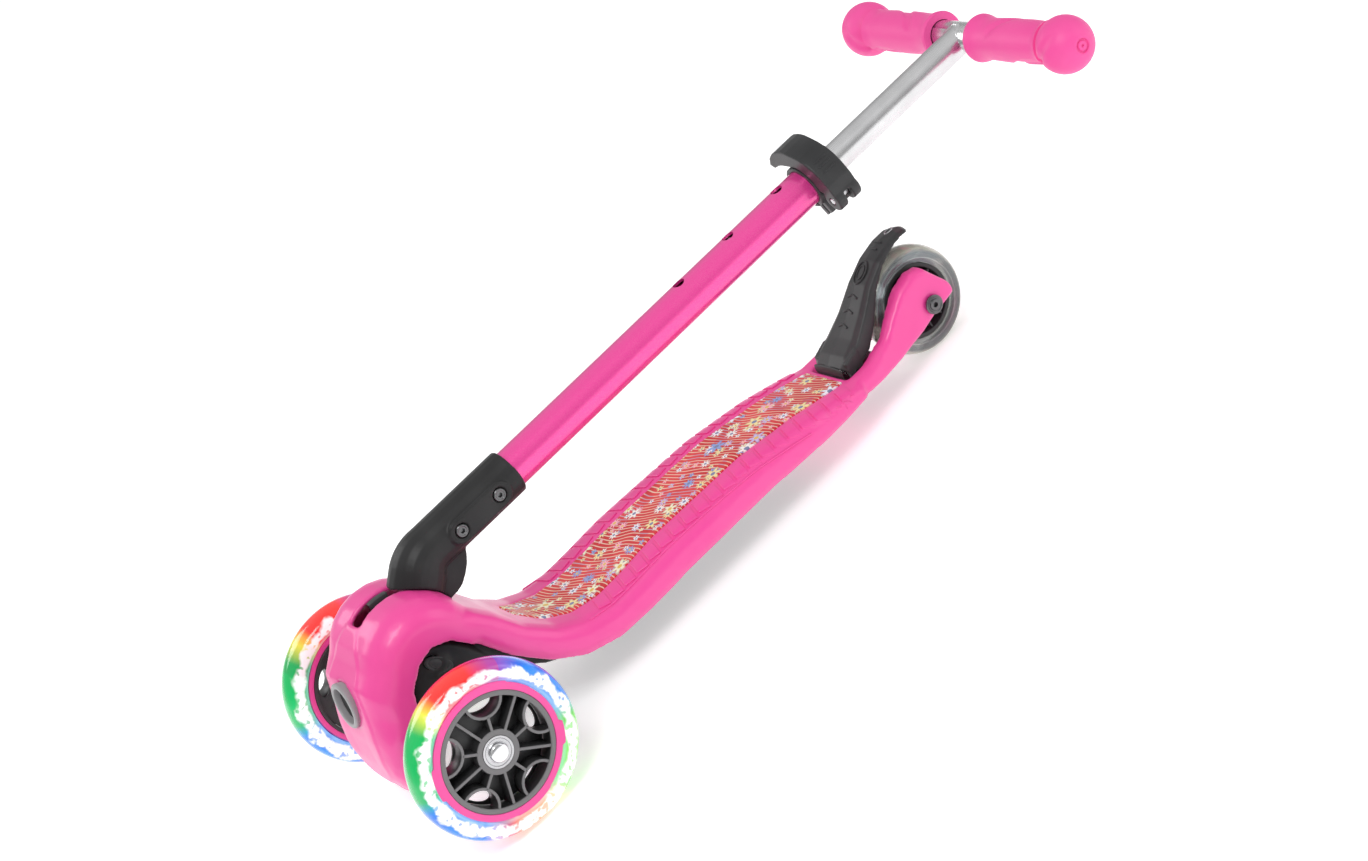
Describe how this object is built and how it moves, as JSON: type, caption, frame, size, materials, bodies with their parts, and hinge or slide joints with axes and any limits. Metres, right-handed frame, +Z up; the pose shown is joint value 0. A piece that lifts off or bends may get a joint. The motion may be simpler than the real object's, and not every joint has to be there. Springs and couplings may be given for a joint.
{
  "type": "kick scooter",
  "caption": "Child's folding three-wheel scooter that steers by leaning: two light-up front wheels, a small rear wheel with a brake, and a T-bar of adjustable height folded over the deck.",
  "frame": {"origin": "on the floor under the middle of the folded scooter's bounding box", "axes": "+X forwards (from the rear wheel to the front wheels), +Y left, +Z up, all three wheels on z = 0"},
  "size_m": [0.6823, 0.284, 0.1924],
  "materials": {
    "pink_plastic": "glossy moulded nylon",
    "pink_paint": "glossy powder coat",
    "pink_rubber": "matte moulded grip rubber",
    "panel_print": "printed mat with flowers and waves",
    "black_plastic": "satin",
    "dark_plastic": "satin",
    "grey_plastic": "satin",
    "clear_urethane": "translucent urethane with lights inside",
    "smoke_urethane": "translucent smoke urethane",
    "brushed_aluminium": "brushed",
    "steel": "plain",
    "chrome": "polished"
  },
  "bodies": {
    "deck": {"deck_shell": "pink_plastic", "grip_panel": "panel_print", "underbody": "black_plastic", "fold_pin": "steel", "fold_latch_spring": "steel", "lock_bezel": "grey_plastic", "steering_lock_spring": "steel", "steering_bolt": "steel", "rear_axle_bolt": "steel", "rear_axle_nut": "steel", "rear_sleeve": "steel", "brake_pin": "steel", "brake_spring": "steel"},
    "fold_key": {"fold_release_key": "dark_plastic"},
    "lock_button": {"steering_lock_button": "black_plastic"},
    "t_bar": {"elbow_socket": "black_plastic", "elbow_bolt_lower": "steel", "elbow_bolt_upper": "steel", "elbow_nut_lower": "steel", "elbow_nut_upper": "steel", "lower_tube": "pink_paint", "tube_bush": "dark_plastic", "clamp_collar": "brushed_aluminium", "clamp_bolt": "steel"},
    "clamp_lever": {"clamp_lever": "dark_plastic", "clamp_pin": "steel"},
    "handlebar": {"upper_tube": "brushed_aluminium", "height_button_spring": "steel", "grip_left": "pink_rubber", "grip_right": "pink_rubber", "grip_plug_left": "pink_rubber", "grip_plug_right": "pink_rubber"},
    "height_button": {"height_button": "steel"},
    "truck": {"steering_truck": "black_plastic", "steering_spring_left": "steel", "steering_spring_right": "steel", "front_axle": "steel", "front_magnet_sleeve_left": "dark_plastic", "front_magnet_sleeve_right": "dark_plastic", "front_spacer_left": "steel", "front_spacer_right": "steel", "front_axle_cap_left": "chrome", "front_axle_cap_right": "chrome"},
    "front_wheel_left": {"front_tyre_left": "clear_urethane", "front_light_ring_left": "pink_plastic", "front_rim_left": "grey_plastic", "front_bearing_left_outer": "steel", "front_bearing_left_inner": "steel"},
    "front_wheel_right": {"front_tyre_right": "clear_urethane", "front_light_ring_right": "pink_plastic", "front_rim_right": "grey_plastic", "front_bearing_right_outer": "steel", "front_bearing_right_inner": "steel"},
    "rear_wheel": {"rear_tyre": "smoke_urethane", "rear_core": "dark_plastic", "rear_bearing_left": "steel", "rear_bearing_right": "steel"},
    "brake": {"brake_pedal": "dark_plastic"}
  },
  "joints": [
    {"name": "fold", "type": "hinge", "parent": "deck", "child": "t_bar", "pos_m": [0.26496, 0, 0.104], "axis": [0, 1, 0], "range_deg": [0, 78]},
    {"name": "handlebar_height", "type": "slide", "parent": "t_bar", "child": "handlebar", "axis": [-0.9995, 0, 0.0323], "range_m": [-0.049, 0.049]},
    {"name": "height_button_press", "type": "slide", "parent": "handlebar", "child": "height_button", "axis": [-0.0323, 0, -0.9995], "range_m": [0, 0.0025], "stiffness_N_per_m": 400, "springref_m": -0.002},
    {"name": "clamp_lever_turn", "type": "hinge", "parent": "t_bar", "child": "clamp_lever", "pos_m": [-0.16726, 0.02725, 0.15076], "axis": [-0.9995, 0, 0.0323], "range_deg": [0, 100]},
    {"name": "fold_key_press", "type": "slide", "parent": "deck", "child": "fold_key", "axis": [0.1045, 0, -0.9945], "range_m": [0, 0.003], "stiffness_N_per_m": 300, "springref_m": -0.002, "deforming": ["fold_latch_spring"]},
    {"name": "steering_lock_press", "type": "slide", "parent": "deck", "child": "lock_button", "axis": [-0.9659, 0, -0.2588], "range_m": [0, 0.0025], "stiffness_N_per_m": 400, "springref_m": -0.002, "deforming": ["steering_lock_spring"]},
    {"name": "lean_steer", "type": "hinge", "parent": "deck", "child": "truck", "pos_m": [0.29696, 0, 0.077], "axis": [0.6428, 0, 0.766], "range_deg": [-15, 15], "stiffness_Nm_per_rad": 8, "deforming": ["steering_spring_left", "steering_spring_right"]},
    {"name": "front_wheel_left_spin", "type": "hinge", "parent": "truck", "child": "front_wheel_left", "pos_m": [0.28066, 0.1017, 0.0605], "axis": [0, 1, 0], "continuous": true},
    {"name": "front_wheel_right_spin", "type": "hinge", "parent": "truck", "child": "front_wheel_right", "pos_m": [0.28066, -0.1017, 0.0605], "axis": [0, 1, 0], "continuous": true},
    {"name": "rear_wheel_spin", "type": "hinge", "parent": "deck", "child": "rear_wheel", "pos_m": [-0.17804, 0, 0.04], "axis": [0, 1, 0], "continuous": true},
    {"name": "brake_press", "type": "hinge", "parent": "deck", "child": "brake", "pos_m": [-0.10604, 0, 0.036], "axis": [0, -1, 0], "range_deg": [0, 2.2], "stiffness_Nm_per_rad": 12, "springref_deg": -2.86}
  ]
}
